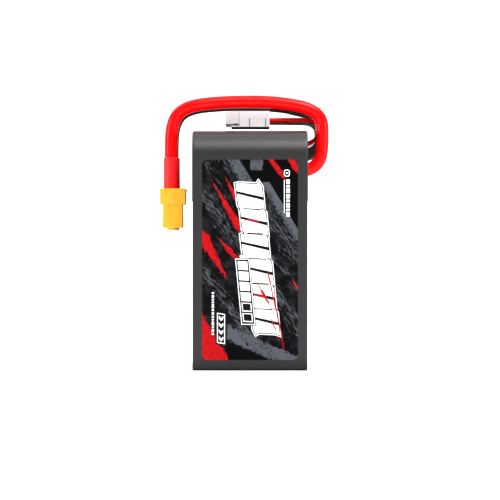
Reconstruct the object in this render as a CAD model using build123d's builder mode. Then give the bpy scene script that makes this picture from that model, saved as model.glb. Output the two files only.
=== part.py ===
from build123d import *
import os
from math import atan, cos, degrees, pi, radians, sin, tan

# Six-cell lithium polymer pack for a small racing drone.
# The pack stands on its blind end: +Z is up toward the tab end, the label faces -Y,
# the leads leave the +X side near the tab end. Millimetres.

# ---------------------------------------------------------------- driving sizes
half_width = 19.9        # film, X
half_depth = 25.0        # film, Y
shoulder_z = 74.5        # where the tab end starts to round over
top_radius = 8.5         # rounding from face to tab end
bottom_radius = 2.2      # rounding at the blind end
crown_rise = 1.0         # bulge of the tab end over its middle
film = 0.2               # film thickness
lip_width = 3.0          # film folded over each side
lip_fold = 0.35          # radius of that fold
tape = 0.2               # side tape thickness
tape_z = 58.7            # lower edge of the side tape
sheet = 0.3              # side sheet thickness
sheet_x = 19.35          # inner face of a side sheet

cell_count = 6
cell_t = 7.85            # cell thickness, Y
glue_t = 0.2             # adhesive sheet between cells
cell_pitch = cell_t + glue_t
cell_w = 37.6            # pouch body width, X
cell_z0 = 0.8
cell_z1 = 64.5           # top of the pouch body
seal_z = 68.0            # top of the pouch's top seal
seal_t = 0.3
tab_x = 9.0
tab_w = 6.0
tab_t = 0.2
tab_top = 76.0
board_z = 74.0
board_t = 1.2
stiff_t = 0.6

lead_d = 4.5             # 12 AWG silicone lead
red_y = -7.65            # lead planes, 7.2 apart like the connector's contacts
black_y = -0.45
red_z = 69.5
black_z = 75.5
plug_x = -27.1           # main connector centre
plug_y = (red_y + black_y) / 2
lead_end_x = -27.6
plug_top = 63.4
shrink_od = 5.6
shrink_top = 74.3

wire_d = 1.7             # 22 AWG silicone wire
wire_count = 7
wire_pitch = 1.8         # side by side in the ribbon
ribbon_y = 8.9
ribbon_z = 78.5
bal_y = 6.5              # balance plug centre
bal_z = 87.7            # axis of its contacts
bal_pitch = 2.5
bal_rear = 3.2           # where the wires enter the plug

os.makedirs("parts", exist_ok=True)
made = []


def save(solid, label):
    solid.label = label
    export_step(solid, "parts/" + label + ".step")
    made.append((label, solid.volume))


corner_y = half_depth - top_radius
crown_turn = 2 * atan(crown_rise / corner_y)
top_z = shoulder_z + top_radius + crown_rise


def body_outline(inset):
    """Side outline of the pack (Y to the right, Z up), set in from the film's face."""
    y = half_depth - inset
    rt = top_radius - inset
    rb = max(bottom_radius - inset, 0.5)
    turn = degrees(crown_turn)
    end_y = corner_y + rt * sin(crown_turn)
    end_z = shoulder_z + rt * cos(crown_turn)
    with BuildSketch() as face:
        with BuildLine():
            Line((-y, inset + rb), (-y, shoulder_z))
            CenterArc((-corner_y, shoulder_z), rt, 180, -(90 - turn))
            ThreePointArc((-end_y, end_z), (0, top_z - inset), (end_y, end_z))
            CenterArc((corner_y, shoulder_z), rt, 0, 90 - turn)
            Line((y, shoulder_z), (y, inset + rb))
            CenterArc((y - rb, inset + rb), rb, 0, -90)
            Line((y - rb, inset), (-(y - rb), inset))
            CenterArc((-(y - rb), inset + rb), rb, 270, -90)
        make_face()
    return face.sketch


def block(x0, x1, y0, y1, z0, z1, mode=Mode.ADD):
    with Locations(((x0 + x1) / 2, (y0 + y1) / 2, (z0 + z1) / 2)):
        Box(x1 - x0, y1 - y0, z1 - z0, mode=mode)


# ---------------------------------------------------------------- film and side cover
with BuildPart() as film_sleeve:
    with BuildSketch(Plane.YZ):
        add(body_outline(0))
    extrude(amount=half_width, both=True)
    fillet(
        film_sleeve.edges().filter_by_position(Axis.X, half_width, half_width)
        + film_sleeve.edges().filter_by_position(Axis.X, -half_width, -half_width),
        lip_fold,
    )
    with BuildSketch(Plane.YZ):
        add(body_outline(film))
    extrude(amount=half_width - film, both=True, mode=Mode.SUBTRACT)
    with BuildSketch(Plane.YZ):
        add(body_outline(lip_width))
    extrude(amount=half_width + 1, both=True, mode=Mode.SUBTRACT)
save(film_sleeve.part, "film_sleeve")


def lead_openings(x0, x1):
    """Round openings for the two leads and a slot for the ribbon."""
    with BuildPart() as cut:
        with BuildSketch(Plane.YZ.offset(x0)):
            with Locations((red_y, red_z), (black_y, black_z)):
                Circle(lead_d / 2 + 0.15)
            # the ribbon already turns up as it passes through, so its slot sits higher
            with Locations((ribbon_y, ribbon_z + 0.3)):
                SlotOverall((wire_count - 1) * wire_pitch + wire_d + 1.5, wire_d + 0.8)
        extrude(amount=x1 - x0)
    return cut.part


for side, name in ((-1, "left"), (1, "right")):
    with BuildPart() as side_tape:
        with BuildSketch(Plane.YZ.offset(half_width)):
            add(body_outline(lip_fold + 0.02))
            with Locations((0, tape_z / 2 - 5)):
                Rectangle(60, tape_z + 10, mode=Mode.SUBTRACT)
        extrude(amount=tape)
        if side > 0:
            add(lead_openings(half_width - 1, half_width + 1), mode=Mode.SUBTRACT)
    tape_solid = side_tape.part if side > 0 else side_tape.part.mirror(Plane.YZ)
    save(tape_solid, name + "_side_tape")

    with BuildPart() as side_sheet:
        with BuildSketch(Plane.YZ.offset(sheet_x)):
            add(body_outline(film + 0.2))
        extrude(amount=sheet)
        if side > 0:
            add(lead_openings(sheet_x - 1, sheet_x + 1), mode=Mode.SUBTRACT)
    sheet_solid = side_sheet.part if side > 0 else side_sheet.part.mirror(Plane.YZ)
    save(sheet_solid, name + "_side_sheet")

# ---------------------------------------------------------------- stiffeners and labels
stiff_y = half_depth - film - 0.1
for side, name in ((-1, "front"), (1, "rear")):
    with BuildPart() as stiffener:
        y_in = side * (stiff_y - stiff_t)
        y_out = side * stiff_y
        block(-18.8, 18.8, min(y_in, y_out), max(y_in, y_out), 2.6, 73.0)
        fillet(stiffener.edges().filter_by(Axis.Y), 1.0)
    save(stiffener.part, name + "_stiffener")

label_t = 0.12
with BuildPart() as front_label:
    with BuildSketch(Plane.XZ.offset(half_depth)):
        with Locations((0, (3.75 + 73.1) / 2)):
            RectangleRounded(33.15, 73.1 - 3.75, 2.0)
    extrude(amount=label_t)
save(front_label.part, "front_label")

with BuildPart() as rear_label:
    with BuildSketch(Plane.XZ.offset(-half_depth)):
        with Locations((0, 38.0)):
            RectangleRounded(30.0, 56.0, 2.0)
    extrude(amount=-label_t)
save(rear_label.part, "rear_label")

# ---------------------------------------------------------------- cells
cell_y = [(i - (cell_count - 1) / 2) * cell_pitch for i in range(cell_count)]
for i, yc in enumerate(cell_y):
    with BuildPart() as cell:
        block(-cell_w / 2, cell_w / 2, yc - cell_t / 2, yc + cell_t / 2, cell_z0, cell_z1)
        fillet(cell.edges(), 1.2)
        # top seal and the two folded side seals
        block(-18.0, 18.0, yc - seal_t / 2, yc + seal_t / 2, cell_z1 - 0.5, seal_z)
        for s in (-1, 1):
            block(min(s * cell_w / 2, s * 19.2), max(s * cell_w / 2, s * 19.2),
                  yc - 2.6, yc + 2.6, 2.5, 62.5)
    save(cell.part, "cell_" + str(i + 1))

with BuildPart() as cell_adhesive_sheets:
    for i in range(cell_count - 1):
        yc = (cell_y[i] + cell_y[i + 1]) / 2
        block(-16.5, 16.5, yc - glue_t / 2, yc + glue_t / 2, 3.0, 62.0)
save(cell_adhesive_sheets.part, "cell_adhesive_sheets")

# the cells are in series, so neighbours face opposite ways round
plus = [((1 if i % 2 == 0 else -1) * tab_x, yc) for i, yc in enumerate(cell_y)]
minus = [((-1 if i % 2 == 0 else 1) * tab_x, yc) for i, yc in enumerate(cell_y)]
for spots, name in ((plus, "positive_tabs"), (minus, "negative_tabs")):
    with BuildPart() as tabs:
        for x, y in spots:
            block(x - tab_w / 2, x + tab_w / 2, y - tab_t / 2, y + tab_t / 2, seal_z, tab_top)
    save(tabs.part, name)

with BuildPart() as tab_sealant_strips:
    for x, y in plus + minus:
        block(x - 4, x + 4, y - 0.3, y + 0.3, seal_z, seal_z + 1.6)
        block(x - tab_w / 2 - 0.01, x + tab_w / 2 + 0.01, y - tab_t / 2 - 0.01,
              y + tab_t / 2 + 0.01, seal_z - 1, tab_top, mode=Mode.SUBTRACT)
save(tab_sealant_strips.part, "tab_sealant_strips")

# ---------------------------------------------------------------- tab end board
with BuildPart() as balance_board:
    block(-17.5, 11.9, -21.5, 21.5, board_z, board_z + board_t)
    fillet(balance_board.edges().filter_by(Axis.Z), 1.0)
    for x, y in plus + minus:
        if x > 0:
            # slots on the lead side run out through the board's edge
            block(x - tab_w / 2 - 0.2, x + tab_w / 2 + 0.5, y - 0.25, y + 0.25,
                  board_z - 1, board_z + 3, mode=Mode.SUBTRACT)
        else:
            block(x - tab_w / 2 - 0.2, x + tab_w / 2 + 0.2, y - 0.25, y + 0.25,
                  board_z - 1, board_z + 3, mode=Mode.SUBTRACT)
save(balance_board.part, "balance_board")

board_top = board_z + board_t
with BuildPart() as tab_solder_beads:
    for x, y in plus + minus:
        x1 = min(x + 3.1, 11.8)
        block(x - 3.1, x1, y - 0.9, y + 0.9, board_top, board_top + 0.7)
        block(x - tab_w / 2 - 0.01, x + tab_w / 2 + 0.01, y - tab_t / 2 - 0.01,
              y + tab_t / 2 + 0.01, board_z, tab_top + 1, mode=Mode.SUBTRACT)
save(tab_solder_beads.part, "tab_solder_beads")

red_x0 = 15.2            # inner ends of the leads
black_x0 = 12.05
wire_x0 = 12.05
with BuildPart() as terminal_strips:
    block(8.5, red_x0, red_y - 0.2, red_y + 0.2, 67.8, board_z)
    block(8.2, black_x0, black_y - 0.2, black_y + 0.2, board_top, 77.4)
save(terminal_strips.part, "terminal_strips")

wire_y = [ribbon_y + (i - (wire_count - 1) / 2) * wire_pitch for i in range(wire_count)]
with BuildPart() as balance_solder_posts:
    for y in wire_y:
        # a post beside a tab stands on the tab's end, the others on the board
        near = min(abs(y - c) for c in cell_y)
        block(10.6, wire_x0, y - 0.6, y + 0.6, tab_top if near < 1.6 else board_top,
              ribbon_z + 0.6)
save(balance_solder_posts.part, "balance_solder_posts")

with BuildPart() as tab_end_foam:
    block(-17.5, 17.5, -14.0, 14.0, 80.1, 82.7)
save(tab_end_foam.part, "tab_end_foam")


# ---------------------------------------------------------------- leads and wires
def route_radii(pts):
    v = [Vector(*p) for p in pts]
    out = []
    for a, b, c in zip(v, v[1:], v[2:]):
        turn = radians((b - a).get_angle(c - b))
        short = min((b - a).length, (c - b).length)
        out.append(0.45 * short / tan(turn / 2))
    return out


def tube(pts, d, name):
    radii = route_radii(pts)
    with BuildPart() as cable:
        with BuildLine() as path:
            FilletPolyline(*pts, radius=radii)
        first = Vector(*pts[1]) - Vector(*pts[0])
        with BuildSketch(Plane(origin=pts[0], z_dir=first)):
            Circle(d / 2)
        sweep(path=path.line)
    run = sum(e.length for e in path.edges())
    ratio = cable.part.volume / (pi * d * d / 4 * run)
    print(name, "length", round(run, 2), "volume/section", round(ratio, 4),
          "radii", [round(r, 1) for r in radii])
    save(cable.part, name)


red_route = [(red_x0, red_z), (24.4, red_z), (25.4, 79.5), (25.2, 90.7), (9.6, 94.1),
             (-11.0, 93.9), (-23.2, 92.2), (-27.8, 86.6), (lead_end_x, 74.6),
             (lead_end_x, plug_top)]
black_route = [(black_x0, black_z), (25.5, black_z), (25.4, 89.4), (10.2, 93.2),
               (-10.2, 93.4), (-23.1, 91.7), (-27.4, 85.9), (lead_end_x, 74.6),
               (lead_end_x, plug_top)]
tube([(x, red_y, z) for x, z in red_route], lead_d, "positive_lead")
tube([(x, black_y, z) for x, z in black_route], lead_d, "negative_lead")

for y, name in ((red_y, "positive_lead_shrink"), (black_y, "negative_lead_shrink")):
    with BuildPart() as lead_shrink:
        with BuildSketch(Plane.XY.offset(plug_top)):
            with Locations((lead_end_x, y)):
                Circle(shrink_od / 2)
                Circle(lead_d / 2 + 0.08, mode=Mode.SUBTRACT)
        extrude(amount=shrink_top - plug_top)
    save(lead_shrink.part, name)

for i, y in enumerate(wire_y):
    end = bal_y + (i - (wire_count - 1) / 2) * bal_pitch
    mid = y + (end - y) * 0.58
    # the wires further back hang a little lower round the upper bend
    route = [(wire_x0, y, ribbon_z), (23.3, y, ribbon_z), (23.4, y, 87.4 - 0.15 * i),
             (14.0, mid, 87.85 - 0.05 * i), (8.2, end, bal_z), (bal_rear, end, bal_z)]
    tube(route, wire_d, "balance_wire_" + str(i + 1))

# ---------------------------------------------------------------- main connector
contact_r = 2.1
socket_r = 1.78
body_bottom = 49.8
socket_bottom = 49.0      # sockets stand a little proud of the housing
flange_z = 57.85


def shell_outline(w, depth, cut):
    """Connector section: square at the front end, cut corners at the back end."""
    with BuildSketch() as face:
        with BuildLine():
            Polyline((-w / 2, -depth / 2), (w / 2, -depth / 2), (w / 2, depth / 2 - cut),
                     (w / 2 - cut, depth / 2), (-w / 2 + cut, depth / 2),
                     (-w / 2, depth / 2 - cut), (-w / 2, -depth / 2))
        make_face()
    return face.sketch


with BuildPart() as connector_housing:
    with BuildSketch(Plane.XY.offset(flange_z)):
        with Locations((plug_x, plug_y)):
            RectangleRounded(9.25, 16.2, 0.6)
    extrude(amount=plug_top - flange_z)
    chamfer(connector_housing.faces().sort_by(Axis.Z)[0].edges(), 0.5)
    with BuildSketch(Plane.XY.offset(body_bottom)):
        with Locations((plug_x, plug_y)):
            add(shell_outline(7.05, 15.4, 1.9))
    extrude(amount=flange_z - body_bottom)
    fillet(connector_housing.faces().sort_by(Axis.Z)[0].edges(), 0.3)
    # contact channels
    with BuildSketch(Plane.XY.offset(body_bottom - 1)):
        with Locations((plug_x, red_y), (plug_x, black_y)):
            Circle(contact_r + 0.03)
    extrude(amount=12.0, mode=Mode.SUBTRACT)
save(connector_housing.part, "connector_housing")

with BuildPart() as connector_contacts:
    with BuildSketch(Plane.XY.offset(socket_bottom)):
        with Locations((plug_x, red_y), (plug_x, black_y)):
            Circle(contact_r)
    extrude(amount=11.6)
    with BuildSketch(Plane.XY.offset(socket_bottom)):
        with Locations((plug_x, red_y), (plug_x, black_y)):
            Circle(socket_r)
    extrude(amount=9.0, mode=Mode.SUBTRACT)
save(connector_contacts.part, "connector_contacts")

# ---------------------------------------------------------------- balance plug
bal_half = 9.9           # half of 19.8, seven ways at 2.5
nose_x = -8.7
collar_x = -6.6
clip_x = -3.75
bal_bottom = 85.25
bal_top = 90.9
bal_yc = [bal_y + (i - (wire_count - 1) / 2) * bal_pitch for i in range(wire_count)]
with BuildPart() as balance_plug_housing:
    block(nose_x, collar_x + 1, bal_y - bal_half + 0.6, bal_y + bal_half - 0.6,
          86.2, 90.4)
    block(collar_x, clip_x - 0.05, bal_y - bal_half, bal_y + bal_half, bal_bottom, bal_top)
    block(clip_x - 1, bal_rear, bal_y - bal_half + 0.6, bal_y + bal_half - 0.6,
          bal_bottom + 0.55, bal_top - 0.55)
    fillet(balance_plug_housing.edges().filter_by(Axis.X), 0.3)
    for y in bal_yc:
        block(nose_x - 1, bal_rear - 1.0, y - 0.95, y + 0.95, bal_z - 1.2, bal_z + 1.2,
              mode=Mode.SUBTRACT)
save(balance_plug_housing.part, "balance_plug_housing")

with BuildPart() as balance_plug_contacts:
    for y in bal_yc:
        block(nose_x + 0.6, bal_rear - 1.1, y - 0.85, y + 0.85, bal_z - 1.05, bal_z + 1.05)
        block(nose_x - 1, nose_x + 7, y - 0.4, y + 0.4, bal_z - 0.4, bal_z + 0.4,
              mode=Mode.SUBTRACT)
save(balance_plug_contacts.part, "balance_plug_contacts")

with BuildPart() as balance_plug_clip:
    block(clip_x, 6.95, bal_y - bal_half, bal_y + bal_half, bal_bottom, bal_top)
    fillet(balance_plug_clip.edges().filter_by(Axis.X), 0.3)
    block(clip_x - 1, 8.0, bal_y - bal_half + 0.55, bal_y + bal_half - 0.55,
          bal_bottom + 0.5, bal_top - 0.5, mode=Mode.SUBTRACT)
    # latch windows in the two end walls
    block(-0.1, 2.6, bal_y - bal_half - 1, bal_y + bal_half + 1, bal_z - 1.0, bal_z + 1.0,
          mode=Mode.SUBTRACT)
save(balance_plug_clip.part, "balance_plug_clip")

for label, volume in made:
    print(label, round(volume, 2))
print(len(made), "nodes")
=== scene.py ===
import math
import random

import bmesh
import bpy
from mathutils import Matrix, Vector, noise as mnoise
from mathutils.geometry import tessellate_polygon


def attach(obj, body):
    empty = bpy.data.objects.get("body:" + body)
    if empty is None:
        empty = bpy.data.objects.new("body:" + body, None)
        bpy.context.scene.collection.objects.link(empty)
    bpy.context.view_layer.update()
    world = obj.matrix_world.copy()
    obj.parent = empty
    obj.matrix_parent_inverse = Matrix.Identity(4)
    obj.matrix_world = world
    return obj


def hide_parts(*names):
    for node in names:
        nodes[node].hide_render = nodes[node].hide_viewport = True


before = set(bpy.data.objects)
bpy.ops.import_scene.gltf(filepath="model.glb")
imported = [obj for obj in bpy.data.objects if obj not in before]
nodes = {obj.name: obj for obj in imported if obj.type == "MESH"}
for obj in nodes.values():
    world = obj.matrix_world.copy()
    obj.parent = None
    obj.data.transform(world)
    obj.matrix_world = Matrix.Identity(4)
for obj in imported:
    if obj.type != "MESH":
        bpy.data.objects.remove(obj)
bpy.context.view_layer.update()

MM = 0.001


# ------------------------------------------------------------------ node helpers
class V:
    """A number in a node tree, with arithmetic."""

    def __init__(self, nt, sock):
        self.nt, self.s = nt, sock

    def op(self, kind, other=None, swap=False, third=None):
        n = self.nt.nodes.new("ShaderNodeMath")
        n.operation = kind
        pair = [self, other] if not swap else [other, self]
        for i, v in enumerate(pair + [third]):
            if v is None:
                continue
            if isinstance(v, V):
                self.nt.links.new(v.s, n.inputs[i])
            else:
                n.inputs[i].default_value = v
        return V(self.nt, n.outputs[0])

    def __add__(self, o): return self.op("ADD", o)
    def __radd__(self, o): return self.op("ADD", o)
    def __sub__(self, o): return self.op("SUBTRACT", o)
    def __rsub__(self, o): return self.op("SUBTRACT", o, swap=True)
    def __mul__(self, o): return self.op("MULTIPLY", o)
    def __rmul__(self, o): return self.op("MULTIPLY", o)
    def __truediv__(self, o): return self.op("DIVIDE", o)
    def __neg__(self): return self.op("MULTIPLY", -1.0)
    def abs(self): return self.op("ABSOLUTE")
    def min(self, o): return self.op("MINIMUM", o)
    def max(self, o): return self.op("MAXIMUM", o)
    def sin(self): return self.op("SINE")
    def pow(self, o): return self.op("POWER", o)
    def over(self, o): return self.op("GREATER_THAN", o)
    def under(self, o): return self.op("LESS_THAN", o)

    def ramp(self, lo, hi):
        """0 at lo, 1 at hi, smooth between and clamped."""
        n = self.nt.nodes.new("ShaderNodeMapRange")
        n.interpolation_type = "SMOOTHSTEP"
        self.nt.links.new(self.s, n.inputs["Value"])
        n.inputs["From Min"].default_value = lo
        n.inputs["From Max"].default_value = hi
        return V(self.nt, n.outputs[0])


class Mat:
    """A Principled material with coordinates in millimetres of the part's frame."""

    def __init__(self, name, rough=0.5, metal=0.0, ior=1.5, coat=0.0, coat_rough=0.1,
                 sheen=0.0, trans=0.0, sss=0.0, spec=0.5):
        self.m = bpy.data.materials.new(name)
        self.m.use_nodes = True
        self.nt = self.m.node_tree
        self.nt.nodes.clear()
        self.out = self.nt.nodes.new("ShaderNodeOutputMaterial")
        self.b = self.nt.nodes.new("ShaderNodeBsdfPrincipled")
        self.nt.links.new(self.b.outputs[0], self.out.inputs[0])
        i = self.b.inputs
        i["Roughness"].default_value = rough
        i["Metallic"].default_value = metal
        i["IOR"].default_value = ior
        i["Specular IOR Level"].default_value = spec
        i["Coat Weight"].default_value = coat
        i["Coat Roughness"].default_value = coat_rough
        i["Sheen Weight"].default_value = sheen
        i["Transmission Weight"].default_value = trans
        i["Subsurface Weight"].default_value = sss
        if sss:
            i["Subsurface Radius"].default_value = (1.0, 0.7, 0.5)
            i["Subsurface Scale"].default_value = 0.0008
        tc = self.nt.nodes.new("ShaderNodeTexCoord")
        sc = self.nt.nodes.new("ShaderNodeVectorMath")
        sc.operation = "SCALE"
        self.nt.links.new(tc.outputs["Object"], sc.inputs[0])
        sc.inputs["Scale"].default_value = 1000.0
        self.p = sc.outputs[0]
        sep = self.nt.nodes.new("ShaderNodeSeparateXYZ")
        self.nt.links.new(self.p, sep.inputs[0])
        self.x, self.y, self.z = (V(self.nt, o) for o in sep.outputs)

    def vec(self, x, y, z=0.0):
        n = self.nt.nodes.new("ShaderNodeCombineXYZ")
        for k, v in enumerate((x, y, z)):
            if isinstance(v, V):
                self.nt.links.new(v.s, n.inputs[k])
            else:
                n.inputs[k].default_value = v
        return n.outputs[0]

    def noise(self, size, detail=3.0, rough=0.5, vec=None, distort=0.0):
        """Noise with features about `size` mm across."""
        n = self.nt.nodes.new("ShaderNodeTexNoise")
        self.nt.links.new(vec or self.p, n.inputs["Vector"])
        n.inputs["Scale"].default_value = 1.0 / size
        n.inputs["Detail"].default_value = detail
        n.inputs["Roughness"].default_value = rough
        n.inputs["Distortion"].default_value = distort
        return V(self.nt, n.outputs["Fac"])

    def voronoi(self, size, vec=None, feature="F1"):
        n = self.nt.nodes.new("ShaderNodeTexVoronoi")
        n.feature = feature
        self.nt.links.new(vec or self.p, n.inputs["Vector"])
        n.inputs["Scale"].default_value = 1.0 / size
        return V(self.nt, n.outputs["Distance"])

    def mix(self, fac, a, b):
        n = self.nt.nodes.new("ShaderNodeMix")
        n.data_type = "RGBA"
        if isinstance(fac, V):
            self.nt.links.new(fac.s, n.inputs[0])
        else:
            n.inputs[0].default_value = fac
        for k, v in ((6, a), (7, b)):
            if isinstance(v, tuple):
                n.inputs[k].default_value = (*v, 1.0)
            else:
                self.nt.links.new(v, n.inputs[k])
        return n.outputs[2]

    def color(self, c):
        if isinstance(c, tuple):
            self.b.inputs["Base Color"].default_value = (*c, 1.0)
        else:
            self.nt.links.new(c, self.b.inputs["Base Color"])
        return self

    def rough(self, v):
        self.nt.links.new(v.s, self.b.inputs["Roughness"])
        return self

    def spec(self, v):
        self.nt.links.new(v.s, self.b.inputs["Specular IOR Level"])
        return self

    def bump(self, height, depth_mm, strength=1.0):
        n = self.nt.nodes.new("ShaderNodeBump")
        n.inputs["Strength"].default_value = strength
        n.inputs["Distance"].default_value = depth_mm * MM
        self.nt.links.new(height.s, n.inputs["Height"])
        self.nt.links.new(n.outputs[0], self.b.inputs["Normal"])
        return self


def srgb(r, g, b):
    """Linear colour from 0-255 display values."""
    return tuple(((v / 255) / 12.92) if v / 255 <= 0.04045
                 else ((v / 255 + 0.055) / 1.055) ** 2.4 for v in (r, g, b))


# ------------------------------------------------------------------ materials
def make_film(name="pack_film", base=(0.0074, 0.0070, 0.0072), dark=0.85):
    m = Mat(name, spec=0.42)
    broad = m.noise(14.0, 2.0)
    fine = m.noise(0.35, 2.0, 0.6)
    m.color(m.mix(broad.ramp(0.3, 0.7), tuple(c * dark for c in base), base))
    m.rough(0.33 + 0.09 * m.noise(5.0, 3.0) + 0.04 * fine)
    # painted shade: the film's reflection is turned down toward the bottom (blind) end, darkening the bottom rounding
    m.spec(0.42 * (0.30 + 0.70 * m.z.ramp(-1.0, 5.5)))
    m.bump(0.75 * m.noise(7.0, 2.0, 0.4) + 0.05 * fine, 0.05)
    return m.m


def make_tape():
    m = Mat("side_tape_film", spec=0.3)
    grain = m.noise(0.5, 3.0, 0.6, vec=m.vec(m.x, m.y * 0.15, m.z))
    m.color(m.mix(grain.ramp(0.35, 0.7), (0.022, 0.022, 0.023), (0.032, 0.032, 0.033)))
    m.rough(0.42 + 0.16 * grain)
    m.bump(grain * 0.5 + m.noise(5.0) * 0.5, 0.02)
    return m.m


def make_card():
    m = Mat("fibre_sheet", spec=0.3)
    fibre = m.noise(1.2, 5.0, 0.7, vec=m.vec(m.x, m.y * 0.3, m.z))
    m.color(m.mix(fibre.ramp(0.3, 0.72), (0.044, 0.045, 0.048), (0.062, 0.062, 0.066)))
    m.rough(0.68 + 0.2 * fibre)
    m.bump(fibre, 0.03)
    return m.m


GREY = (0.061, 0.066, 0.078)
RED = (0.385, 0.0052, 0.0075)


def make_label_base():
    """Printed face: black ground, charcoal brush streaks, torn red strokes."""
    m = Mat("label_print", spec=0.03)
    x, z = m.x, m.z
    # streaks run down to the right
    along = x * 0.588 - z * 0.809
    wander = (m.noise(6.0, 2.0) - 0.5) * 2.4
    across = x * 0.809 + z * 0.588
    acr = across + wander
    brush = m.noise(1.0, 7.0, 0.68, vec=m.vec(along / 3.2, acr / 0.60, 3.7))
    fine = m.noise(1.0, 6.0, 0.7, vec=m.vec(along / 1.4, acr / 0.26, 21.3))
    torn = m.noise(1.0, 6.0, 0.66, vec=m.vec(along / 1.5, across / 0.40, 9.1)) - 0.5
    chips = m.noise(1.3, 5.0, 0.72, vec=m.vec(x, z * 0.8, 5.0)) - 0.5

    def pulse(v, centre, half):
        return (1.0 - ((v - centre).abs() / half)).max(0.0)

    density = pulse(across, 37.0, 5.2).max(pulse(across, 22.4, 5.4))
    density = density.max(pulse(across, 7.4, 4.6)).max(pulse(across, 29.4, 3.2) * 0.75)
    mark = brush * 0.72 + fine * 0.28
    streaks = mark.over(0.635 - density * 0.145)
    specks = fine.over(0.70 - density * 0.06)
    # solid bands, one edge clean and one torn
    q = x * 0.855 + z * 0.519
    step = z.over(65.3)
    wear = torn * 6.5 + chips * 3.0
    band_a = (q - 34.8).under(0.0) * (q - 31.4 + wear).over(0.0) * step
    band_c = (q - 39.6).under(0.0) * (q - 36.9 + wear).over(0.0) * (1.0 - step) * x.over(1.6)
    low = x * 0.454 + z * 0.891
    band_b = ((low - 8.7 - x * 0.05).abs() - 2.3 + chips * 4.2 + torn * 1.4).under(0.0) * (x + chips * 3.0).over(-7.9)
    island = (((x - 2.3).abs() - 2.1 + chips * 2.2).max((z - 71.5).abs() - 2.1 + chips * 1.6)).under(0.0)
    veins = m.voronoi(1.5, vec=m.vec(x + chips * 2.0, z + torn * 2.0, 2.0), feature="DISTANCE_TO_EDGE")
    cracked = veins.over(0.035)
    solid = band_a.max(band_c).max(band_b) * cracked.max(density.under(0.3))
    clear = ((q - 39.7).over(0.0) * (1.0 - step)).max((q - 34.9).over(0.0) * step)
    pit = (low - 6.3 + chips * 3.0 - x * 0.08).under(0.0) * x.over(-8.6)
    open_ground = (1.0 - clear) * (1.0 - pit)
    grey = (streaks.max(specks) * open_ground).max(solid).max(island)
    tone = m.noise(2.0, 5.0, 0.6, vec=m.vec(along / 2.0, across, 1.0))
    dusty = m.mix(m.noise(3.0, 5.0).ramp(0.45, 0.62), (0.0020, 0.0021, 0.0024), (0.0085, 0.009, 0.0098))
    ground = m.mix(open_ground, (0.0012, 0.0012, 0.0013), dusty)
    charcoal = m.mix((tone + solid * 0.16).ramp(0.34, 0.62), tuple(c * 0.42 for c in GREY), GREY)
    col = m.mix(grey, ground, charcoal)

    def stroke(ax, az, bx, bz, half, jag=1.0, tip=0.25, tail=0.25):
        """Torn stroke from a to b, widest between its tips, spiked along its run."""
        length = math.hypot(bx - ax, bz - az)
        dx, dz = (bx - ax) / length, (bz - az) / length
        run = (x - ax) * dx + (z - az) * dz
        s = (x - ax) * -dz + (z - az) * dx
        t = run / length
        width = (t / tip).min((1.0 - t) / tail).min(1.0) * half
        spike = m.noise(1.0, 5.0, 0.62, vec=m.vec(run / 1.7, s / 0.42, ax)) - 0.5
        edge = s.abs() - width + (spike * 2.6 + chips * 0.7) * (jag * math.sqrt(half))
        return edge.under(0.0) * t.over(0.0) * t.under(1.0)

    red = stroke(-13.3, 66.0, -2.3, 47.0, 1.25, 0.9, 0.8, 0.15)
    for s in ((-8.7, 67.0, -2.6, 56.0, 0.85, 0.8, 0.6, 0.2),
              (-18.8, 50.6, -8.0, 31.6, 2.1, 1.0, 0.25, 0.75),
              (-10.8, 45.8, -3.6, 37.8, 0.8, 0.9, 0.5, 0.3),
              (5.0, 40.0, 12.0, 6.2, 0.62, 0.7, 0.3, 0.55),
              (3.4, 33.6, 9.6, 10.6, 0.42, 0.7, 0.3, 0.4),
              (6.2, 74.6, 12.6, 65.6, 0.85, 0.8, 0.2, 0.35),
              (12.9, 75.0, 17.6, 67.4, 0.95, 0.8, 0.2, 0.4),
              (14.6, 31.4, 17.8, 26.6, 0.32, 0.7, 0.4, 0.4)):
        red = red.max(stroke(*s))
    corner = (x * 0.857 + z * 0.515 + 4.2 + torn * 3.0 + chips * 2.4).under(0.0)
    red = red.max(corner)
    redtone = m.mix((m.noise(1.4, 4.0) + fine * 0.3).ramp(0.45, 0.8), tuple(c * 0.70 for c in RED), RED)
    m.color(m.mix(red, col, redtone))
    m.rough(0.44 + 0.08 * m.noise(0.4, 2.0) - 0.05 * grey)
    m.bump(m.noise(6.0) * 0.7 + m.noise(0.3) * 0.04, 0.012)
    return m.m


def make_print(name, c, vary=0.9):
    m = Mat(name, spec=0.08)
    n = m.noise(0.7, 3.0)
    m.color(m.mix(n.ramp(0.3, 0.7), tuple(v * vary for v in c), c))
    m.rough(0.40 + 0.1 * n)
    m.bump(m.noise(0.3, 2.0), 0.003)
    return m.m


def make_rear_label():
    m = Mat("rear_label_print", spec=0.16)
    x, z = m.x, m.z
    along = x * 0.588 - z * 0.809
    across = x * 0.809 + z * 0.588
    brush = m.noise(1.0, 6.0, 0.62, vec=m.vec(along / 4.2, across / 0.95, 13.7))
    m.color(m.mix(brush.over(0.60), (0.004, 0.004, 0.0045), tuple(c * 0.6 for c in GREY)))
    m.rough(0.44 + 0.08 * brush)
    m.bump(m.noise(6.0), 0.02)
    return m.m


def make_silicone(name, c, dark, rough=0.23, coat=0.0):
    """Extruded silicone: soft gloss, faint chalk bloom, fine surface bump."""
    m = Mat(name, spec=0.07, coat=coat, coat_rough=0.13)
    bloom = m.noise(2.2, 4.0, 0.6)
    m.color(m.mix(bloom.ramp(0.25, 0.75), dark, c))
    m.rough(rough - 0.05 + 0.12 * m.noise(1.2, 3.0) + 0.03 * m.noise(0.2))
    m.bump(m.noise(0.9, 3.0) * 0.8 + m.noise(0.12, 2.0) * 0.2, 0.015)
    return m.m


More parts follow.
